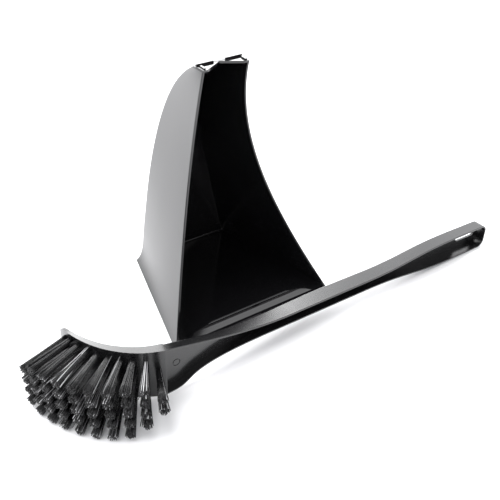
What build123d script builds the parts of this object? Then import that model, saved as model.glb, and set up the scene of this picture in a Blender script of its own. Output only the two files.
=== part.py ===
"""Dust pan and brush set: a hooded pan that stands on its base, and a long-handled brush lying in front of it.

Millimetres, +Z up. The set rests on Z = 0, X runs along the pan's mouth and Y from the mouth to the pan's back.
The origin is below the middle of the whole set.
"""

from build123d import *
from collections import namedtuple
import math
import os

# Pan: a one-piece moulding, open at the front and closed over the top.
PAN_X = -28.3                                # the pan's middle plane
PAN_MOUTH_Y = -34.2                          # front edge of its floor
PAN_HEIGHT = 248.0
PAN_WALL = 2.2
PAN_FLOOR = 2.2
MOUTH_HALF_WIDTHS = (90.0, 54.5, 24.5, 23.5)  # control values from the floor to the top
MOUTH_SETBACKS = (0.0, 47.0, 75.0, 46.5)
BACK_HALF_WIDTHS = (54.0, 38.0, 42.0, 0.0, 25.5)
BACK_SETBACK = 152.5
HOOD_REACH = 90.5                            # how far the back curves forward at the top
HOOD_POWER = 5.5
SKIRT_HEIGHT = 12.0                          # the foot of the back flares outwards
SKIRT_FLARE = 3.0
PAN_SECTIONS = 12
PAN_CORNER = 3.5
PAN_ROOF = 2.2
ROOM_REACH = 60.0                            # the room is cut this far out through the mouth
MOUTH_ROUND = 0.8                            # outer edges of the walls round the mouth
FLOOR_ROUND = 1.2                            # inside, where the floor meets the walls
TOP_ROUND = 2.0                              # radius round the edge of the roof
GABLE_WIDTH = 41.0                           # the notch that the mouth leaves in the roof
GABLE_DEPTH = 13.0
GABLE_CUT = 8.0                              # how far down the notch is cut, more than the roof's thickness

# Threshold just behind the mouth, which keeps the sweepings in.
RAMP_HEIGHT = 8.0
RAMP_CREST_Y = (10.8, 13.2)
RAMP_BACK_Y = 14.5
RAMP_STEP = 4.0                              # the upright lip at the top of the ramp
RAMP_STEP_DRAFT = 0.4
RAMP_CREST_ROUND = 1.0
RAMP_LIP = 1.0
RAMP_CREST_HALF = 45.0
RAMP_FOOT_HALF = 78.0

GATE_STUB = (7.0, 3.0, 3.2)                  # left by the injection gate on the mouth's edge
GATE_X = 12.0
GATE_JUT = 1.2                               # how far it stands out of the edge
GATE_RISE = 0.3

# Low lugs on the top of the hood.
LUG_HEIGHT = 1.8
LUG_WIDTH = 1.8
BACK_LUG_LENGTH = 17.0
BACK_LUG_GAP = 12.0
SIDE_LUG_LENGTH = 7.0
SIDE_LUG_START = 1.5                         # behind the mouth
LUG_INSET = 3.0                              # from the roof's edge to a lug's middle

# Brush placement: the start of its handle, and how the lying brush leans.
NECK = (-151.8, -81.8, 30.8)
HANDLE_YAW = 1.8                             # degrees away from the pan's mouth line
HANDLE_DIP = 2.4                             # degrees down towards the hanging end

# Handle: a channel that opens towards -Y, in the brush's own frame.
HANDLE_LENGTH = 411.0
HEAD_HALF = 25.6
WAIST_HALF = 6.0
GRIP_HALF = 13.9
END_CORNER = 8.5
HANDLE_ROUND = 2.0
FRONT_ROUND = 0.5
UPPER_PULL = (10.0, 75.0)                    # how far each shoulder's curve holds at its two ends
LOWER_PULL = (39.0, 3.0)
SWELL_PULL = (290.0, 300.0)
RISE_PULL = (0.35, 0.55)                     # shares of the rise's length
TAPER_PULL = (190.0, 300.0)
TAPER_LIFT = 1.5
BEYOND = 40.0                                # past the brush on either side, for cutting through it
UPPER_WAIST_START = 135.0
LOWER_WAIST_START = 110.0
WAIST_END = 235.0
GRIP_START = 360.0
NECK_DEPTH = 9.5
WAIST_DEPTH = 18.5
DEPTH_RISE = (25.0, 165.0)                   # where the handle deepens
END_DEPTH = 14.5
FLANGE = 1.6
WEB = 2.4
CHANNEL_START = 1.2
SLOT_LENGTH = 30.0
SLOT_WIDTH = 9.0
SLOT_END_MARGIN = 4.5
MARK_X = 14.5
MARK_RADIUS = 3.8
MARK_LINE = 0.7
MARK_DEPTH = 0.7

# Head: a curved block whose outer face carries the bristles.
HEAD_RADIUS = 83.4
HEAD_CENTRE = (25.0, 79.6)
HEAD_NECK_ANGLE = 252.6
HEAD_TIP_ANGLE = 175.6
HEAD_SECTIONS = 7
HEAD_LAST_SHARE = 0.93                       # one more section where the tip turns in
HEAD_NECK_EDGE = 9.5
HEAD_TIP_EDGE = 2.4
HEAD_DOME = 2.5                              # extra thickness along the middle of its back
HEAD_TIP_HALF = 13.0

# Bristle tufts: rows in each column, from the tip of the head to the neck.
TUFT_ROWS = (4, 5, 5, 5, 5, 5, 5, 5, 4, 2)
TIP_HEIGHTS = (24.0, 29.7, 29.6, 29.6, 29.6, 29.7, 30.0, 31.5, 35.0, 36.0)
ROOT_FIRST_ANGLE = 184.6
ROOT_ANGLE_STEP = 7.1
ROOT_ROW_PITCH = 9.5
TIP_CENTRE = (-145.2, -10.0)
TIP_RADIUS = 113.0
TIP_FIRST_ANGLE = 188.0
TIP_ANGLE_STEP = 7.55
TIP_ROW_PITCH = 12.6
TUFT_ROOT_RADIUS = 2.1
TUFT_TIP_RADIUS = 4.4
TUFT_HOLE_RADIUS = 2.2
TUFT_HOLE_DEPTH = 4.6
HOLE_SHARE = 0.9                             # of the head's thickness, where that is less
ROOT_CLEARANCE = 0.5                         # below a tuft, where its staple sits
STAPLE = (0.3, 3.6, 1.6)                     # thickness, length, width
STAPLE_GAP = 0.05


def blend_along(values, share):
    """A smooth value between the first and last control values, share running from 0 to 1."""
    degree = len(values) - 1
    return sum(
        math.comb(degree, i) * share**i * (1 - share) ** (degree - i) * value
        for i, value in enumerate(values)
    )


def skirt(height):
    return SKIRT_FLARE * max(0.0, 1 - height / SKIRT_HEIGHT) ** 2


def mouth_half(height):
    return blend_along(MOUTH_HALF_WIDTHS, height / PAN_HEIGHT)


def mouth_setback(height):
    return blend_along(MOUTH_SETBACKS, height / PAN_HEIGHT)


def back_half(height):
    return blend_along(BACK_HALF_WIDTHS, height / PAN_HEIGHT) + skirt(height)


def back_setback(height):
    hood = HOOD_REACH * (height / PAN_HEIGHT) ** HOOD_POWER
    return BACK_SETBACK - hood + skirt(height)


def hood_slope(height):
    return HOOD_REACH * HOOD_POWER / PAN_HEIGHT * (height / PAN_HEIGHT) ** (HOOD_POWER - 1)


def pan_outline(height, wall=0.0, forward=0.0):
    """One level of the pan, seen from above: a trapezoid that is widest at the mouth, set in by the wall."""
    front_y = mouth_setback(height)
    back_y = back_setback(height)
    lean = (mouth_half(height) - back_half(height)) / (back_y - front_y)
    side = wall * math.hypot(1, lean)
    back_wall = wall * math.hypot(1, hood_slope(height))
    front = mouth_half(height) + lean * forward - side
    back = back_half(height) + lean * back_wall - side
    corners = [
        (-front, front_y - forward),
        (front, front_y - forward),
        (back, back_y - back_wall),
        (-back, back_y - back_wall),
    ]
    outline = make_face(Polyline(*corners, close=True))
    radius = PAN_CORNER - wall
    rounded = fillet(outline.vertices().sort_by(Axis.Y)[-2:], radius)
    return Pos(0, 0, height) * rounded


def pan_levels(low, high):
    """Heights from low to high, closer together where the skirt and the hood curve."""
    turns = [math.sin(math.pi / 2 * i / PAN_SECTIONS) for i in range(1, PAN_SECTIONS)]
    inner = [PAN_HEIGHT * turn for turn in turns]
    levels = [SKIRT_HEIGHT / 3, SKIRT_HEIGHT] + inner
    kept = [level for level in levels if low + 1 < level < high - 1]
    return [low] + kept + [high]


def pan_cap():
    """The rounded rim of the roof."""
    turns = [math.radians(turn) for turn in (0, 30, 60, 90)]
    base = PAN_HEIGHT - TOP_ROUND
    return loft(
        [pan_outline(base + TOP_ROUND * math.sin(turn), TOP_ROUND * (1 - math.cos(turn))) for turn in turns]
    )


def pan_shell():
    outside = loft([pan_outline(z) for z in pan_levels(0.0, PAN_HEIGHT - TOP_ROUND)])
    mouth_rim = outside.faces().sort_by(Axis.Y)[0].edges().sort_by(SortBy.LENGTH)[-2:]
    outside = fillet(mouth_rim, MOUTH_ROUND) + pan_cap()
    room = loft(
        [pan_outline(z, PAN_WALL, ROOM_REACH) for z in pan_levels(PAN_FLOOR, PAN_HEIGHT - PAN_ROOF)]
    )
    floor_rim = room.faces().sort_by(Axis.Z)[0].edges().sort_by(Axis.Y)[1:]
    room = fillet(floor_rim, FLOOR_ROUND)
    gable_front = mouth_setback(PAN_HEIGHT) - 1.0
    gable = Polyline(
        (-GABLE_WIDTH / 2, gable_front),
        (GABLE_WIDTH / 2, gable_front),
        (0, gable_front + GABLE_DEPTH),
        close=True,
    )
    notch = extrude(Pos(0, 0, PAN_HEIGHT - GABLE_CUT) * make_face(gable), 2 * GABLE_CUT)
    return outside - room - notch


def threshold():
    """A ramp from the mouth to an upright lip, dropping to the floor behind, with its ends cut back."""
    side = make_face(
        Polyline(
            (0, 0),
            (0, RAMP_LIP),
            (RAMP_CREST_Y[0] - RAMP_STEP_DRAFT, RAMP_HEIGHT - RAMP_STEP),
            (RAMP_CREST_Y[0], RAMP_HEIGHT),
            (RAMP_CREST_Y[1], RAMP_HEIGHT),
            (RAMP_BACK_Y, 0),
            close=True,
        )
    )
    crest = side.vertices().sort_by(Axis.Y)[-2:]
    side = fillet(crest, RAMP_CREST_ROUND)
    wedge = extrude(Plane.YZ * side, RAMP_FOOT_HALF + 5, both=True)
    front = Plane.XZ * make_face(
        Polyline(
            (-RAMP_FOOT_HALF - 5, 0),
            (RAMP_FOOT_HALF + 5, 0),
            (RAMP_FOOT_HALF, RAMP_LIP),
            (RAMP_CREST_HALF, RAMP_HEIGHT),
            (-RAMP_CREST_HALF, RAMP_HEIGHT),
            (-RAMP_FOOT_HALF, RAMP_LIP),
            close=True,
        )
    )
    return wedge & extrude(front, RAMP_BACK_Y + 1, both=True)


def top_lugs():
    """Two lugs along the back of the roof, with a gap between them, and one on each side."""
    lugs = []
    back_y = back_setback(PAN_HEIGHT) - LUG_INSET
    side_x = mouth_half(PAN_HEIGHT) - LUG_INSET
    for side in (-1, 1):
        x = side * (BACK_LUG_GAP + BACK_LUG_LENGTH) / 2
        lugs.append(Pos(x, back_y, PAN_HEIGHT) * Box(BACK_LUG_LENGTH, LUG_WIDTH, 2 * LUG_HEIGHT))
        y = mouth_setback(PAN_HEIGHT) + SIDE_LUG_START + SIDE_LUG_LENGTH / 2
        lugs.append(Pos(side * side_x, y, PAN_HEIGHT) * Box(LUG_WIDTH, SIDE_LUG_LENGTH, 1.5 * LUG_HEIGHT))
    return lugs


def pan_body():
    pan = pan_shell() + threshold()
    stub_y = GATE_STUB[1] / 2 - GATE_JUT
    stub = Pos(GATE_X, stub_y, GATE_RISE) * Box(*GATE_STUB, align=(Align.CENTER, Align.CENTER, Align.MIN))
    for detail in top_lugs() + [stub]:
        pan += detail
    return Pos(PAN_X, PAN_MOUTH_Y, 0) * pan


def brush_frame():
    return Location(NECK) * Rotation(0, 0, HANDLE_YAW) * Rotation(0, HANDLE_DIP, 0)


def width_edge(pull, waist_x, inset, start_x):
    """The handle's edge on one side of its middle plane: a shoulder, a slim waist, the grip and a corner."""
    head_half = HEAD_HALF - inset
    waist_half = WAIST_HALF - inset
    grip_half = GRIP_HALF - inset
    end_x = HANDLE_LENGTH - inset
    corner = END_CORNER - inset
    start = (start_x, head_half)
    hold, fall = (reach - inset / 2 for reach in pull)
    shoulder = Bezier(start, (hold, head_half), (fall, waist_half), (waist_x, waist_half))
    waist = Line((waist_x, waist_half), (WAIST_END, waist_half))
    hold, rise = SWELL_PULL
    swell = Bezier((WAIST_END, waist_half), (hold, waist_half), (rise, grip_half), (GRIP_START, grip_half))
    straight = Line((GRIP_START, grip_half), (end_x - corner, grip_half))
    turn = RadiusArc((end_x - corner, grip_half), (end_x, grip_half - corner), corner)
    return [shoulder, waist, swell, straight, turn]


def width_outline(inset=0.0, start_x=0.0):
    """The handle seen along Y. Its upper shoulder falls more slowly than its lower one."""
    upper = width_edge(UPPER_PULL, UPPER_WAIST_START, inset, start_x)
    mirrored = width_edge(LOWER_PULL, LOWER_WAIST_START, inset, start_x)
    lower = [edge.mirror(Plane.XZ) for edge in mirrored]
    start = Line((start_x, inset - HEAD_HALF), (start_x, HEAD_HALF - inset))
    end_x = HANDLE_LENGTH - inset
    end_half = GRIP_HALF - END_CORNER
    end = Line((end_x, end_half), (end_x, -end_half))
    return make_face(upper + [end, start] + lower)


def depth_outline(web=0.0, front=0.0):
    """The handle seen from above: a straight front edge and a back that is deepest at the waist."""
    neck_depth = NECK_DEPTH - web
    full_depth = WAIST_DEPTH - web
    end_depth = END_DEPTH - web
    rise_x, crest_x = DEPTH_RISE
    leave_x, arrive_x = (rise_x + share * (crest_x - rise_x) for share in RISE_PULL)
    start = Line((0, neck_depth), (rise_x, neck_depth))
    neck = Bezier((rise_x, neck_depth), (leave_x, neck_depth), (arrive_x, full_depth), (crest_x, full_depth))
    hold, fall = TAPER_PULL
    end = (HANDLE_LENGTH, end_depth)
    taper = Bezier((crest_x, full_depth), (hold, full_depth), (fall, end_depth + TAPER_LIFT), end)
    return make_face(
        [
            start,
            neck,
            taper,
            Line(end, (HANDLE_LENGTH, front)),
            Line((HANDLE_LENGTH, front), (0, front)),
            Line((0, front), (0, neck_depth)),
        ]
    )


def back_rim(body):
    """The edges round the handle's back, without the one at the head and the seams across its web."""
    backs = [face for face in body.faces() if face.normal_at().Y > 0.5]
    edges = [edge for face in backs for edge in face.edges()]
    seams = (0.0,) + DEPTH_RISE
    return [edge for edge in edges if all(abs(edge.center().X - seam) > 0.01 for seam in seams)]


def handle():
    body = extrude(Plane.XZ * width_outline(), BEYOND, both=True)
    body = body & extrude(depth_outline(), BEYOND, both=True)
    body = fillet(back_rim(body), HANDLE_ROUND)
    front_rim = [edge for edge in body.edges() if edge.center().Y < 0.01 and edge.center().X > 1]
    body = fillet(front_rim, FRONT_ROUND)
    hollow = extrude(Plane.XZ * width_outline(FLANGE, CHANNEL_START), BEYOND, both=True)
    hollow = hollow & extrude(depth_outline(WEB, -BEYOND), BEYOND, both=True)
    slot_x = HANDLE_LENGTH - SLOT_END_MARGIN - SLOT_LENGTH / 2
    slot = extrude(Plane.XZ * Pos(slot_x, 0) * SlotOverall(SLOT_LENGTH, SLOT_WIDTH), BEYOND, both=True)
    return body - hollow - slot


def head_point(angle, inward=0.0):
    """A point on the head's outer face, or that far inside it, in the brush's own frame."""
    turn = math.radians(angle)
    reach = HEAD_RADIUS - inward
    return Vector(HEAD_CENTRE[0] + reach * math.cos(turn), HEAD_CENTRE[1] + reach * math.sin(turn), 0)


def head_edge(share):
    """How thick the head is along its rim."""
    return HEAD_NECK_EDGE + share * (HEAD_TIP_EDGE - HEAD_NECK_EDGE)


def head_section(share):
    """The head cut across, from the neck at share 0 to the rounded tip at share 1."""
    angle = HEAD_NECK_ANGLE + share * (HEAD_TIP_ANGLE - HEAD_NECK_ANGLE)
    turn = math.radians(angle)
    edge = head_edge(share)
    half = HEAD_TIP_HALF + (HEAD_HALF - HEAD_TIP_HALF) * math.sqrt(max(0.0, 1 - share**5))
    inwards = Vector(-math.cos(turn), -math.sin(turn), 0)
    plane = Plane(origin=head_point(angle), x_dir=inwards, z_dir=Vector(math.sin(turn), -math.cos(turn), 0))
    side = 1 if plane.y_dir.Z > 0 else -1
    outline = [
        Line((0, -side * half), (0, side * half)),
        Line((0, side * half), (edge, side * half)),
        ThreePointArc((edge, side * half), (edge + HEAD_DOME, 0), (edge, -side * half)),
        Line((edge, -side * half), (0, -side * half)),
    ]
    return plane * make_face(outline)


def head():
    shares = [i / HEAD_SECTIONS for i in range(HEAD_SECTIONS)] + [HEAD_LAST_SHARE, 1.0]
    return loft([head_section(share) for share in shares])


Tuft = namedtuple("Tuft", "name root tip hole_depth")


def tuft_layout():
    """Every tuft's root and tip in the set's frame, with the depth of its hole, less where the head is thin."""
    frame = brush_frame()
    tufts = []
    for column, rows in enumerate(TUFT_ROWS):
        root_angle = ROOT_FIRST_ANGLE + column * ROOT_ANGLE_STEP
        share = (HEAD_NECK_ANGLE - root_angle) / (HEAD_NECK_ANGLE - HEAD_TIP_ANGLE)
        hole_depth = min(TUFT_HOLE_DEPTH, HOLE_SHARE * head_edge(share))
        tip_turn = math.radians(TIP_FIRST_ANGLE + column * TIP_ANGLE_STEP)
        for row in range(rows):
            step = row - (rows - 1) / 2
            root = head_point(root_angle) + Vector(0, 0, step * ROOT_ROW_PITCH)
            root = (frame * Pos(root)).position
            tip = Vector(
                TIP_CENTRE[0] + TIP_RADIUS * math.cos(tip_turn),
                TIP_CENTRE[1] + TIP_RADIUS * math.sin(tip_turn),
                TIP_HEIGHTS[column] + step * TIP_ROW_PITCH,
            )
            tufts.append(Tuft(f"tuft_c{column + 1:02d}_r{row + 1}", root, tip, hole_depth))
    return tufts


def tuft_place(tuft):
    """The frame at a tuft's root, with its Z towards the tip."""
    return Plane(origin=tuft.root, z_dir=(tuft.tip - tuft.root).normalized()).location


def tuft_body(tuft):
    """Bristles drawn together at the root and spreading towards the tip, as one solid."""
    length = (tuft.tip - tuft.root).length
    root_depth = tuft.hole_depth - ROOT_CLEARANCE
    stem = Cylinder(TUFT_ROOT_RADIUS, root_depth, align=(Align.CENTER, Align.CENTER, Align.MAX))
    spread = Cone(TUFT_ROOT_RADIUS, TUFT_TIP_RADIUS, length, align=(Align.CENTER, Align.CENTER, Align.MIN))
    return tuft_place(tuft) * (stem + spread)


def tuft_hole(tuft):
    return tuft_place(tuft) * Cylinder(TUFT_HOLE_RADIUS, 2 * tuft.hole_depth)


def staple(tuft):
    """The flat wire that pins a tuft at the bottom of its hole."""
    thick, length, width = STAPLE
    seat = STAPLE_GAP + thick / 2 - tuft.hole_depth
    return tuft_place(tuft) * Pos(0, 0, seat) * Box(width, length, thick)


def moulding_mark():
    """A shallow ring left by an ejector pin on the web next to the head."""
    ring = Cylinder(MARK_RADIUS, 2 * MARK_DEPTH) - Cylinder(MARK_RADIUS - MARK_LINE, 4 * MARK_DEPTH)
    return Pos(MARK_X, NECK_DEPTH - WEB, 0) * Rotation(90, 0, 0) * ring


def brush_body(tufts):
    body = handle() + head() - moulding_mark()
    return brush_frame() * body - [tuft_hole(tuft) for tuft in tufts]


def build():
    tufts = tuft_layout()
    nodes = {
        "pan_body": pan_body(),
        "brush_body": brush_body(tufts),
        "tuft_staples": Compound(children=[staple(tuft) for tuft in tufts]),
    }
    for tuft in tufts:
        nodes[tuft.name] = tuft_body(tuft)
    return nodes


if __name__ == "__main__":
    os.makedirs("parts", exist_ok=True)
    for node, shape in build().items():
        export_step(shape, f"parts/{node}.step")
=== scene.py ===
"""Looks of the dust pan and brush set: glossy black mouldings, nylon bristles and a white studio."""

import math
import random

import bpy
import numpy as np
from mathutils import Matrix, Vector


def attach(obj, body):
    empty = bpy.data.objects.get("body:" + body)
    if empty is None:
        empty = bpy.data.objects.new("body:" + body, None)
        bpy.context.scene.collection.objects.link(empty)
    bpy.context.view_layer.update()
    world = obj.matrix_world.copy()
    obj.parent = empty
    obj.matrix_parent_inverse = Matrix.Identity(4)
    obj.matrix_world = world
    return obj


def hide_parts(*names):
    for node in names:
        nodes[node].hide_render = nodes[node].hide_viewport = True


MM = 0.001

# Camera: a 52 mm lens half a metre up, looking down across the set from the front left.
CAMERA_POSITION = (-0.3328, -0.4938, 0.480)
CAMERA_HEADING = (0.5436, 0.8393)
CAMERA_PITCH = 35.7
CAMERA_LENS = 52.4

# Bristles: every tuft is a bundle of filaments, arranged in a sunflower pattern across its end.
FILAMENTS = 62
FILAMENT_RADIUS = 0.36 * MM
THICKNESS_RANGE = (0.85, 1.1)                # of the radius
FILAMENT_SIDES = 5
FILAMENT_RINGS = 7
ROOT_SPREAD = 2.0 * MM
TIP_SPREAD = 4.5 * MM
REACH_RANGE = (0.9, 1.04)                    # of the spread at the tip
SPREAD_POWER = 1.25                          # filaments bow outwards towards the tip
GOLDEN_ANGLE = math.pi * (3 - math.sqrt(5))
TURN_WOBBLE = 0.25
CUT_UNEVENNESS = 1.6 * MM
OUTER_SHORTFALL = 0.6 * MM                   # the tuft's end is slightly domed
STRAY_SHARE = 0.07
STRAY_LEAN = (1.5 * MM, 4.0 * MM)
USUAL_LEAN = (0, 0.4 * MM)
FLOOR_CLEARANCE = 1.3                        # in filament radii
TONE_AND_HIGHLIGHT_SHAPE = (1.1, 1.7)                     # most filaments are dark grey at random; a few are painted pale as painted highlights
TUFT_SHADE_RANGE = 0.1
RING_TOLERANCE = 0.05 * MM

# Studio: bright walls behind the set, and a dimmer room on the camera's side.
FLOOR_HALF = 6.0
ROOM_EDGE = -0.45
WALL_EDGE = 0.35
WORLD_STRENGTH = 2.5
ROOM_COLOUR = (0.42, 0.42, 0.43)
WALL_COLOUR = (0.98, 0.985, 1.0)


def make_camera():
    data = bpy.data.cameras.new("camera")
    camera = bpy.data.objects.new("camera", data)
    bpy.context.scene.collection.objects.link(camera)
    pitch = math.radians(CAMERA_PITCH)
    look = Vector((
        CAMERA_HEADING[0] * math.cos(pitch),
        CAMERA_HEADING[1] * math.cos(pitch),
        -math.sin(pitch),
    ))
    camera.location = CAMERA_POSITION
    camera.rotation_mode = "QUATERNION"
    camera.rotation_quaternion = look.to_track_quat("-Z", "Y")
    data.lens = CAMERA_LENS
    data.sensor_width = 36.0
    bpy.context.scene.camera = camera


def link(tree, source, target):
    tree.links.new(source, target)


def new_material(name):
    material = bpy.data.materials.new(name)
    material.use_nodes = True
    tree = material.node_tree
    shader = tree.nodes["Principled BSDF"]
    return material, tree, shader


def add_noise(tree, scale, detail=3.0, roughness=0.5, stretch=(1, 1, 1)):
    coordinates = tree.nodes.new("ShaderNodeTexCoord")
    mapping = tree.nodes.new("ShaderNodeMapping")
    mapping.inputs["Scale"].default_value = stretch
    noise = tree.nodes.new("ShaderNodeTexNoise")
    noise.inputs["Scale"].default_value = scale
    noise.inputs["Detail"].default_value = detail
    noise.inputs["Roughness"].default_value = roughness
    link(tree, coordinates.outputs["Object"], mapping.inputs["Vector"])
    link(tree, mapping.outputs["Vector"], noise.inputs["Vector"])
    return noise


def add_ramp(tree, factor, stops):
    ramp = tree.nodes.new("ShaderNodeValToRGB")
    elements = ramp.color_ramp.elements
    while len(elements) < len(stops):
        elements.new(0.5)
    for element, (position, colour) in zip(elements, stops):
        element.position = position
        element.color = (*colour, 1)
    link(tree, factor, ramp.inputs["Fac"])
    return ramp


def add_range(tree, value, low, high):
    node = tree.nodes.new("ShaderNodeMapRange")
    node.inputs["From Min"].default_value = 0.3
    node.inputs["From Max"].default_value = 0.7
    node.inputs["To Min"].default_value = low
    node.inputs["To Max"].default_value = high
    link(tree, value, node.inputs["Value"])
    return node


def add_bump(tree, shader, height, strength, distance, below=None):
    bump = tree.nodes.new("ShaderNodeBump")
    bump.inputs["Strength"].default_value = strength
    bump.inputs["Distance"].default_value = distance
    link(tree, height, bump.inputs["Height"])
    if below is not None:
        link(tree, below.outputs["Normal"], bump.inputs["Normal"])
    link(tree, bump.outputs["Normal"], shader.inputs["Normal"])
    return bump


def moulded_plastic(name, dark, light, gloss, dull, ior, waviness, grain):
    """Moulded plastic: slow sink marks, a faint flow colour and a fine surface grain."""
    material, tree, shader = new_material(name)
    flow = add_noise(tree, 9.0, detail=4.0, stretch=(1, 1, 0.35))
    colour = add_ramp(tree, flow.outputs["Fac"], [(0.3, dark), (0.75, light)])
    link(tree, colour.outputs["Color"], shader.inputs["Base Color"])
    smudges = add_noise(tree, 26.0, detail=6.0, roughness=0.62)
    rough = add_range(tree, smudges.outputs["Fac"], gloss, dull)
    link(tree, rough.outputs["Result"], shader.inputs["Roughness"])
    sink = add_noise(tree, 11.0, detail=1.0)
    slow = add_bump(tree, shader, sink.outputs["Fac"], 1.0, waviness)
    fine = add_noise(tree, 900.0, detail=2.0)
    add_bump(tree, shader, fine.outputs["Fac"], 1.0, grain, below=slow)
    shader.inputs["IOR"].default_value = ior
    return material


def bristle_nylon():
    """Extruded nylon: each filament its own dark grey at random, a few painted pale grey as painted
    highlights, roughness streaked by noise.
    """
    material, tree, shader = new_material("bristle_nylon")
    tone_and_highlight = tree.nodes.new("ShaderNodeAttribute")
    tone_and_highlight.attribute_name = "tone_and_highlight"
    # Painted highlights: filaments at the top of the range are painted pale grey; below that the dark grey
    # differs at random.
    colour = add_ramp(tree, tone_and_highlight.outputs["Fac"], [
        (0.0, (0.002, 0.002, 0.0023)),
        (0.55, (0.005, 0.005, 0.0055)),
        (0.75, (0.02, 0.02, 0.022)),
        (1.0, (0.6, 0.6, 0.61)),
    ])
    link(tree, colour.outputs["Color"], shader.inputs["Base Color"])
    streaks = add_noise(tree, 420.0, detail=3.0)
    rough = add_range(tree, streaks.outputs["Fac"], 0.12, 0.3)
    link(tree, rough.outputs["Result"], shader.inputs["Roughness"])
    shader.inputs["IOR"].default_value = 1.45
    return material


def staple_steel():
    material, tree, shader = new_material("staple_steel")
    drawn = add_noise(tree, 300.0, detail=4.0, stretch=(1, 1, 8))
    colour = add_ramp(tree, drawn.outputs["Fac"], [
        (0.3, (0.42, 0.42, 0.43)),
        (0.7, (0.62, 0.62, 0.63)),
    ])
    link(tree, colour.outputs["Color"], shader.inputs["Base Color"])
    rough = add_range(tree, drawn.outputs["Fac"], 0.25, 0.45)
    link(tree, rough.outputs["Result"], shader.inputs["Roughness"])
    shader.inputs["Metallic"].default_value = 1.0
    return material


def repaint(node, material):
    node.data.materials.clear()
    node.data.materials.append(material)


def tuft_ends(node):
    """The centres of a tuft's root and tip, from the ends of its solid."""
    points = np.empty(len(node.data.vertices) * 3)
    node.data.vertices.foreach_get("co", points)
    points = points.reshape(-1, 3)
    middle = points.mean(axis=0)
    axis = np.linalg.svd(points - middle, full_matrices=False)[2][0]
    along = (points - middle) @ axis
    ends = []
    for limit in (along.min(), along.max()):
        ring = points[np.abs(along - limit) < RING_TOLERANCE]
        centre = (ring.min(axis=0) + ring.max(axis=0)) / 2
        width = np.linalg.norm(ring - centre, axis=1).max()
        ends.append((width, centre))
    ends.sort(key=lambda end: end[0])
    return Vector(ends[0][1]), Vector(ends[1][1])


def filament_path(root, tip, index, count, rng):
    """Points along one filament, which spreads from its place in the hole to its place in the tuft's end."""
    axis = (tip - root).normalized()
    side = axis.cross(Vector((0, 0, 1))).normalized()
    other = axis.cross(side)
    turn = index * GOLDEN_ANGLE + rng.uniform(-TURN_WOBBLE, TURN_WOBBLE)
    share = math.sqrt((index + 0.5) / count)
    outward = side * math.cos(turn) + other * math.sin(turn)
    stray = rng.random() < STRAY_SHARE
    reach = TIP_SPREAD * share * rng.uniform(*REACH_RANGE)
    length = (tip - root).length - rng.uniform(0, CUT_UNEVENNESS) - OUTER_SHORTFALL * share
    lean_turn = rng.uniform(0, 2 * math.pi)
    lean_size = rng.uniform(*(STRAY_LEAN if stray else USUAL_LEAN))
    lean = (side * math.cos(lean_turn) + other * math.sin(lean_turn)) * lean_size
    points = []
    for ring in range(FILAMENT_RINGS):
        t = ring / (FILAMENT_RINGS - 1)
        spread = ROOT_SPREAD * share + (reach - ROOT_SPREAD * share) * t**SPREAD_POWER
        point = root + axis * (length * t) + outward * spread + lean * t**2
        point.z = max(point.z, FLOOR_CLEARANCE * FILAMENT_RADIUS)
        points.append(point)
    return points


def add_tube(points, radius, vertices, faces):
    """A closed tube with flat ends along the points."""
    start = len(vertices)
    sides = FILAMENT_SIDES
    for i, point in enumerate(points):
        before = points[max(i - 1, 0)]
        after = points[min(i + 1, len(points) - 1)]
        axis = (after - before).normalized()
        side = axis.cross(Vector((0, 0, 1))).normalized()
        other = axis.cross(side)
        for k in range(sides):
            turn = 2 * math.pi * k / sides
            vertices.append(point + (side * math.cos(turn) + other * math.sin(turn)) * radius)
    for i in range(len(points) - 1):
        for k in range(sides):
            a = start + i * sides + k
            b = start + i * sides + (k + 1) % sides
            faces.append((a, b, b + sides, a + sides))
    last = start + (len(points) - 1) * sides
    faces.append(tuple(start + k for k in reversed(range(sides))))
    faces.append(tuple(last + k for k in range(sides)))


def make_tuft(name, node, material, rng):
    root, tip = tuft_ends(node)
    vertices, faces, tones_and_highlights = [], [], []
    tuft_shade = rng.uniform(-TUFT_SHADE_RANGE, TUFT_SHADE_RANGE)
    for index in range(FILAMENTS):
        points = filament_path(root, tip, index, FILAMENTS, rng)
        first_face = len(faces)
        add_tube(points, FILAMENT_RADIUS * rng.uniform(*THICKNESS_RANGE), vertices, faces)
        # Each filament's value picks its grey; the few high values are painted highlights.
        tone_and_highlight = min(1.0, max(0.0, rng.betavariate(*TONE_AND_HIGHLIGHT_SHAPE) + tuft_shade))
        tones_and_highlights += [tone_and_highlight] * (len(faces) - first_face)
    mesh = bpy.data.meshes.new(name)
    mesh.from_pydata(vertices, [], faces)
    mesh.attributes.new("tone_and_highlight", "FLOAT", "FACE").data.foreach_set("value", tones_and_highlights)
    mesh.polygons.foreach_set("use_smooth", [len(face) == 4 for face in faces])
    mesh.materials.append(material)
    mesh.update()
    tuft = bpy.data.objects.new(name, mesh)
    bpy.context.scene.collection.objects.link(tuft)
    return tuft


def make_floor():
    mesh = bpy.data.meshes.new("floor")
    half = FLOOR_HALF
    corners = [(-half, -half, 0), (half, -half, 0), (half, half, 0), (-half, half, 0)]
    mesh.from_pydata(corners, [], [(0, 1, 2, 3)])
    material, tree, shader = new_material("floor_white")
    mottle = add_noise(tree, 3.0, detail=2.0)
    colour = add_ramp(tree, mottle.outputs["Fac"], [
        (0.3, (0.86, 0.86, 0.865)),
        (0.7, (0.88, 0.88, 0.885)),
    ])
    link(tree, colour.outputs["Color"], shader.inputs["Base Color"])
    shader.inputs["Roughness"].default_value = 0.9
    mesh.materials.append(material)
    floor = bpy.data.objects.new("floor", mesh)
    bpy.context.scene.collection.objects.link(floor)


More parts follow.
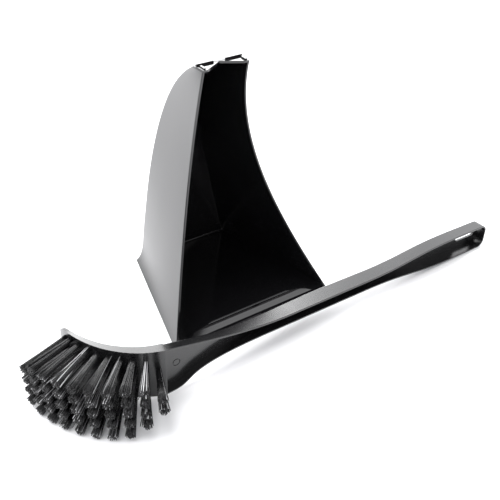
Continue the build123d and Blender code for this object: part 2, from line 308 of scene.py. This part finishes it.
def add_area(name, position, target, size, power, tint=(1, 1, 1)):
    data = bpy.data.lights.new(name, "AREA")
    data.shape = "RECTANGLE"
    data.size, data.size_y = size
    data.energy = power
    data.color = tint
    light = bpy.data.objects.new(name, data)
    light.location = position
    light.rotation_mode = "QUATERNION"
    light.rotation_quaternion = (Vector(target) - Vector(position)).to_track_quat("-Z", "Y")
    bpy.context.scene.collection.objects.link(light)


def make_light():
    world = bpy.data.worlds.new("studio")
    world.use_nodes = True
    tree = world.node_tree
    background = tree.nodes["Background"]
    direction = tree.nodes.new("ShaderNodeTexCoord")
    axes = tree.nodes.new("ShaderNodeSeparateXYZ")
    link(tree, direction.outputs["Generated"], axes.inputs["Vector"])
    shift = tree.nodes.new("ShaderNodeMapRange")
    shift.inputs["From Min"].default_value = ROOM_EDGE
    shift.inputs["From Max"].default_value = WALL_EDGE
    link(tree, axes.outputs["Y"], shift.inputs["Value"])
    room = add_ramp(tree, shift.outputs["Result"], [(0.0, ROOM_COLOUR), (1.0, WALL_COLOUR)])
    link(tree, room.outputs["Color"], background.inputs["Color"])
    background.inputs["Strength"].default_value = WORLD_STRENGTH
    bpy.context.scene.world = world
    add_area("top_softbox", (-0.5, 0.2, 1.7), (0, 0, 0), (0.9, 0.9), 16)
    add_area("back_softbox", (0.6, 2.4, 1.6), (0, 0.0, 0.0), (2.4, 1.2), 60)
    view = bpy.context.scene.view_settings
    view.view_transform = "Standard"


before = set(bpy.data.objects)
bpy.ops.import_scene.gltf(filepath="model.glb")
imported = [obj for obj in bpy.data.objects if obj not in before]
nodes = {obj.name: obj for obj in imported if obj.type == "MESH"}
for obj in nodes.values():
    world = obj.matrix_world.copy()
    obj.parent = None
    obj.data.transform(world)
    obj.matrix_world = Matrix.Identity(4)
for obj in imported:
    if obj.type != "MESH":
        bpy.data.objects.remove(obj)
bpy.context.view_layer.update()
make_camera()
make_light()
make_floor()

pan_gloss = moulded_plastic(
    "pan_plastic",
    dark=(0.0035, 0.0035, 0.004),
    light=(0.006, 0.006, 0.0066),
    gloss=0.06,
    dull=0.13,
    ior=1.6,
    waviness=0.6 * MM,
    grain=0.004 * MM,
)
brush_satin = moulded_plastic(
    "brush_plastic",
    dark=(0.005, 0.005, 0.0055),
    light=(0.008, 0.008, 0.0085),
    gloss=0.2,
    dull=0.26,
    ior=1.7,
    waviness=0.08 * MM,
    grain=0.012 * MM,
)
nylon = bristle_nylon()
steel = staple_steel()
repaint(nodes["pan_body"], pan_gloss)
repaint(nodes["brush_body"], brush_satin)
repaint(nodes["tuft_staples"], steel)

for name in sorted(name for name in nodes if name.startswith("tuft_c")):
    rng = random.Random(name)
    bristles = make_tuft(name.replace("tuft_", "bristles_"), nodes[name], nylon, rng)
    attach(bristles, "brush")
    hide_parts(name)
